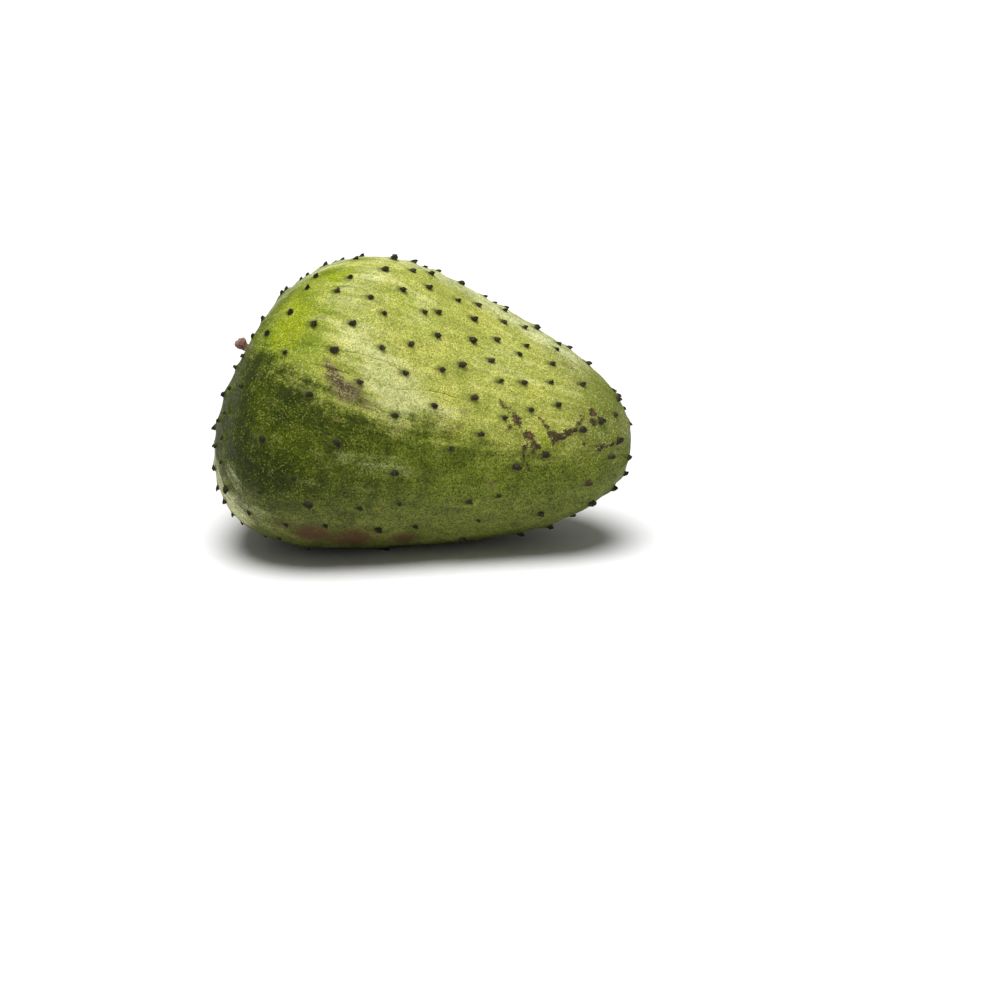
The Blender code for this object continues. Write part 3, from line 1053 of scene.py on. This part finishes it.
def layGranules(graph, sunlit, pale, bloomAndSheen, fine, large):
    # fine grit, dark pits and pale granules, which crowd round the corky lumps
    grit = graph.step(graph.grain["dust"] * 0.72 + graph.grain["grains"] * 0.28, 0.37, 0.63)
    smooth = sunlit * (0.22 + 0.12 * pale)
    graph.colour = graph.scaled(graph.colour, 0.3 + smooth + (1.3 - smooth * 2.0) * grit)
    fineValue, fineDistance = fine
    largeValue, largeDistance = large
    pits = (1 - graph.step(fineValue, 0.06, 0.2)) * (1 - bloomAndSheen * 0.5)
    # pits are darker on the shaded side: painted shade in part
    graph.lay(pits * 0.5, graph.blend(sunlit, skinLook["pitDeep"], skinLook["pit"]))
    crowd = graph.frayed(graph.attribute("corks") * 0.6, mottle=1.1, crumbs=1.1, blotch=0.5)
    fineDots = graph.step(fineValue + crowd, 0.66, 0.9) * (1 - graph.step(fineDistance, 0.2, 0.7))
    largeDots = graph.step(largeValue + crowd * 0.8, 0.88, 1.05)
    largeDots = largeDots * (1 - graph.step(largeDistance, 0.15, 0.5))
    granules = graph.maximum(fineDots * 0.8, largeDots * 0.8)
    # granules are darker on the shaded side: painted shade in part
    speck = graph.blend(sunlit, skinLook["speckDeep"], skinLook["speck"])
    graph.lay(granules * (0.42 - 0.2 * sunlit + 0.45 * grit), speck)
    return granules


def layHalos(graph):
    # a dark ring round each spine, and a whisker that trails behind it, a thin line of painted shade
    # beside its low ridge
    halo = graph.step(graph.frayed(graph.attribute("halo"), mottle=0.4, grains=0.5), 0.35, 1.0)
    graph.lay(halo * 0.75, skinLook["halo"])
    back = graph.attribute("whiskerBack")
    aside = abs(graph.frayed(graph.attribute("whiskerAside"), blotch=5.0, mottle=2.0))
    reach = graph.step(back, 0.3, 1.2) * (1 - graph.step(back + graph.grain["broad"] * 12.0, 6.0, 11.0))
    lineShade = (1 - graph.step(aside + back * 0.16, 0.35, 0.95)) * reach
    graph.lay(lineShade * 0.75, skinLook["lineShade"])


def layStain(graph):
    stain = graph.step(graph.frayed(graph.attribute("stain"), mottle=0.9, streaks=0.5), 0.3, 0.8)
    graph.lay(stain * 0.8, skinLook["stain"])


def layRusset(graph):
    # a pale patch with a dark net over it
    grain = graph.grain
    held = graph.frayed(graph.attribute("russet"), mottle=2.2, fineStreaks=0.6, grains=0.8)
    held = graph.step(held, 0.2, 0.9)
    graph.lay(held * 0.65, skinLook["russetPale"])
    net = graph.frayed(grain["dust"] * 0.8 + grain["grains"] * 0.2, crumbs=0.25, fineStreaks=0.3)
    russet = held * graph.step(net, 0.44, 0.52)
    graph.lay(russet * 0.9, skinLook["russet"])
    return russet


def layFlecks(graph, sunlit):
    grain = graph.grain
    fleck = graph.step(grain["flecks"] * 0.75 + grain["grains"] * 0.25 - sunlit * 0.03, 0.67, 0.71)
    spot = graph.step(graph.frayed(graph.attribute("spots"), grains=0.9), 0.3, 0.75)
    graph.lay(graph.maximum(spot * 0.7, fleck * 0.4), skinLook["spot"])


def layScars(graph, large):
    # thin corky lines, lumps along them with loose crumbs about, and raw places on the lumps
    corks = graph.attribute("corks")
    line = abs(graph.frayed(graph.attribute("scarAcross"), mottle=6.0, crumbs=3.0))
    thin = (1 - graph.step(graph.frayed(line, grains=4.0), 0.5, 1.9)) * graph.attribute("scarHeld")
    thin = thin * graph.step(graph.grain["crumbs"], 0.38, 0.5)
    lump = graph.step(graph.frayed(corks, crumbs=2.4, grains=1.6), 0.44, 0.62)
    largeValue, largeDistance = large
    crumb = graph.step(corks, 0.08, 0.3) * graph.step(graph.frayed(largeValue, crumbs=1.5), 0.72, 0.84)
    crumb = crumb * (1 - graph.step(largeDistance, 0.3, 0.6))
    scar = graph.maximum(thin * 0.8, graph.maximum(lump, crumb * 0.8))
    corkGrain = graph.step(graph.grain["dust"] * 0.5 + graph.grain["grains"] * 0.5, 0.48, 0.6)
    graph.lay(scar * 0.92, graph.blend(corkGrain, skinLook["cork"], skinLook["corkGrain"]))
    raw = graph.step(graph.frayed(graph.attribute("raw"), grains=1.3), 0.5, 0.8)
    graph.lay(raw * 0.6, skinLook["raw"])
    return scar


def layCreases(graph):
    # painted shade: each crease's dent is darkened
    line = abs(graph.frayed(graph.attribute("creaseAcross"), mottle=9.0))
    broken = graph.step(graph.grain["blotch"] + graph.grain["grains"] * 0.3, 0.55, 0.75)
    crease = (1 - graph.step(line, 0.2, 1.5)) * graph.attribute("creaseHeld") * broken
    graph.lay(crease * 0.5, skinLook["lineShade"])
    return crease


def skinFinish():
    graph = SkinGraph()
    fine = graph.cells(graph.place, skinLook["fineCells"])
    large = graph.cells(graph.place, skinLook["largeCells"])
    sunlit = litAndSunnedShare(graph)
    pale = paleShare(graph)
    # the lit, sunned side and the painted shade below it, each partly the skin's own colour
    graph.colour = graph.blend(sunlit, shadedColour(graph), litAndSunnedColour(graph, pale))
    layFrostAndSheen(graph)
    layCollar(graph)
    bloomAndSheen = layBloomAndSheen(graph)
    layHues(graph, sunlit)
    granules = layGranules(graph, sunlit, pale, bloomAndSheen, fine, large)
    layHalos(graph)
    layStain(graph)
    russet = layRusset(graph)
    layFlecks(graph, sunlit)
    scar = layScars(graph, large)
    crease = layCreases(graph)

    grain = graph.grain
    rough = 0.5 + 0.12 * graph.step(grain["mottle"], 0.35, 0.65)
    rough = rough + scar * 0.25 + graph.attribute("bloomAndSheen") * 0.1
    relief = granules * 0.5 + grain["grains"] * 0.8 + grain["streaks"] * 0.5
    relief = relief + scar * grain["grains"] * 1.5 - crease * 0.8 + russet * 0.6
    sockets = {
        "Base Color": graph.colour,
        "Roughness": rough,
        "Normal": graph.bump(relief, skinLook["relief"], skinLook["reliefStrength"]),
        "Specular IOR Level": skinLook["shine"],
    }
    graph.plug(graph.shader, sockets)
    return graph.material


spineLook = {
    "foot": (0.08, 0.11, 0.015),
    "side": (0.024, 0.020, 0.010),
    "brown": (0.052, 0.032, 0.014),
    "tip": (0.014, 0.010, 0.006),
    "dust": (0.14, 0.12, 0.06),
    # noises: scale, detail, roughness
    "grain": (1400, 3.0, 0.7),
    "patch": (160, 3.0, 0.6),
    "relief": 0.25 * mm,
    "reliefStrength": 0.8,
    "shine": 0.12,
}


def spineFinish():
    look = spineLook
    graph = Graph("spineHorn")
    place = graph.objectPlace()
    grain = graph.noise(place, *look["grain"])
    patch = graph.noise(place, *look["patch"])
    rise = graph.attribute("rise")  # 0 at the skin and 1 at the point
    tone = graph.attribute("tone")  # each spine's own, from 0 to 1
    brown = graph.step(tone + (patch - 0.5) * 0.8, 0.8, 1.0)
    side = graph.blend(brown, look["side"], look["brown"])
    colour = graph.blend(graph.step(rise + (patch - 0.5) * 0.6, 0.02, 0.4), look["foot"], side)
    darkTip = graph.step(rise, 0.6, 1.0) * (1 - graph.step(tone, 0.6, 0.9))
    colour = graph.blend(darkTip, colour, look["tip"])
    dust = graph.step(patch * 0.3 + grain * 0.7, 0.52, 0.62)
    colour = graph.blend(dust * 0.5, colour, look["dust"])
    sockets = {
        "Base Color": colour,
        "Roughness": 0.6 + grain * 0.3,
        "Normal": graph.bump(grain, look["relief"], look["reliefStrength"]),
        "Specular IOR Level": look["shine"],
    }
    graph.plug(graph.shader, sockets)
    return graph.material


stalkLook = {
    "bark": (0.20, 0.105, 0.07),
    "pink": (0.36, 0.21, 0.16),
    "crack": (0.045, 0.025, 0.018),
    "wood": (0.30, 0.20, 0.12),
    # noises: scale, detail, roughness
    "coarse": (260, 4.0, 0.65),
    "fine": (1300, 3.0, 0.7),
    "relief": 0.6 * mm,
    "reliefStrength": 0.9,
}


def stalkFinish():
    look = stalkLook
    graph = Graph("stalkBark")
    place = graph.objectPlace()
    coarse = graph.noise(place, *look["coarse"])
    fine = graph.noise(place, *look["fine"])
    colour = graph.blend(graph.step(coarse, 0.38, 0.64), look["bark"], look["pink"])
    cracks = 1 - graph.step(fine * 0.6 + coarse * 0.4, 0.36, 0.5)
    colour = graph.blend(cracks * 0.85, colour, look["crack"])
    bare = graph.step(graph.attribute("cutEnd"), 0.2, 0.5)
    colour = graph.blend(bare * 0.6, colour, look["wood"])
    sockets = {
        "Base Color": colour,
        "Roughness": 0.72 + fine * 0.2,
        "Normal": graph.bump(fine * 0.5 + coarse, look["relief"], look["reliefStrength"]),
    }
    graph.plug(graph.shader, sockets)
    return graph.material


def dress(piece, finish):
    piece.data.materials.clear()
    piece.data.materials.append(finish)


dress(makeSkin(), skinFinish())
dress(setSpines(), spineFinish())
dress(makeStalk(), stalkFinish())
print("pieces dressed")


# floor, light and camera

studio = {
    "floorSide": 40.0,
    "floorColour": (0.74, 0.74, 0.74),
    "floorRoughness": 0.9,
    "floorShine": 0.1,
    "skyLight": 0.25,
    "sunPower": 4.3,
    "sunSpread": math.radians(38),
    "sunFrom": (-0.02, -0.2, 1.0),
    # the camera stands off from the target, and is aimed a little to its right and below it
    "target": (0.0198, 0.0022, 0.0648),
    "distance": 1.2,
    "azimuth": math.radians(10.69),
    "elevation": math.radians(15),
    "aimRight": 31.8 * mm,
    "aimDown": 44.4 * mm,
    "lens": 90.72,
    "sensorWidth": 36,
    "nearestSeen": 0.05,
}


def makeFloor():
    deselectAll()
    bpy.ops.mesh.primitive_plane_add(size=studio["floorSide"], location=(0, 0, 0))
    floor = bpy.context.object
    floor.name = "floor"
    graph = Graph("paleFloor")
    sockets = {
        "Base Color": studio["floorColour"],
        "Roughness": studio["floorRoughness"],
        "Specular IOR Level": studio["floorShine"],
    }
    graph.plug(graph.shader, sockets)
    dress(floor, graph.material)


def makeLight():
    world = bpy.data.worlds.new("studio")
    bpy.context.scene.world = world
    world.use_nodes = True
    background = world.node_tree.nodes["Background"]
    background.inputs["Color"].default_value = (1, 1, 1, 1)
    background.inputs["Strength"].default_value = studio["skyLight"]
    bpy.ops.object.light_add(type="SUN", location=studio["sunFrom"])
    sun = bpy.context.object
    sun.data.energy = studio["sunPower"]
    sun.data.angle = studio["sunSpread"]
    sun.rotation_euler = Vector(studio["sunFrom"]).to_track_quat("Z", "Y").to_euler()


def makeCamera():
    azimuth, elevation = studio["azimuth"], studio["elevation"]
    right = Vector((math.cos(azimuth), math.sin(azimuth), 0))
    level = Vector((math.sin(azimuth), -math.cos(azimuth), 0))
    back = level * math.cos(elevation) + Vector((0, 0, math.sin(elevation)))
    up = back.cross(right)
    target = Vector(studio["target"])
    aim = target + right * studio["aimRight"] - up * studio["aimDown"]
    bpy.ops.object.camera_add(location=target + back * studio["distance"])
    camera = bpy.context.object
    camera.rotation_euler = (aim - camera.location).to_track_quat("-Z", "Y").to_euler()
    camera.data.lens = studio["lens"]
    camera.data.sensor_width = studio["sensorWidth"]
    camera.data.clip_start = studio["nearestSeen"]
    bpy.context.scene.camera = camera


makeFloor()
makeLight()
makeCamera()
bpy.context.scene.view_settings.view_transform = "Standard"
print("studio set")
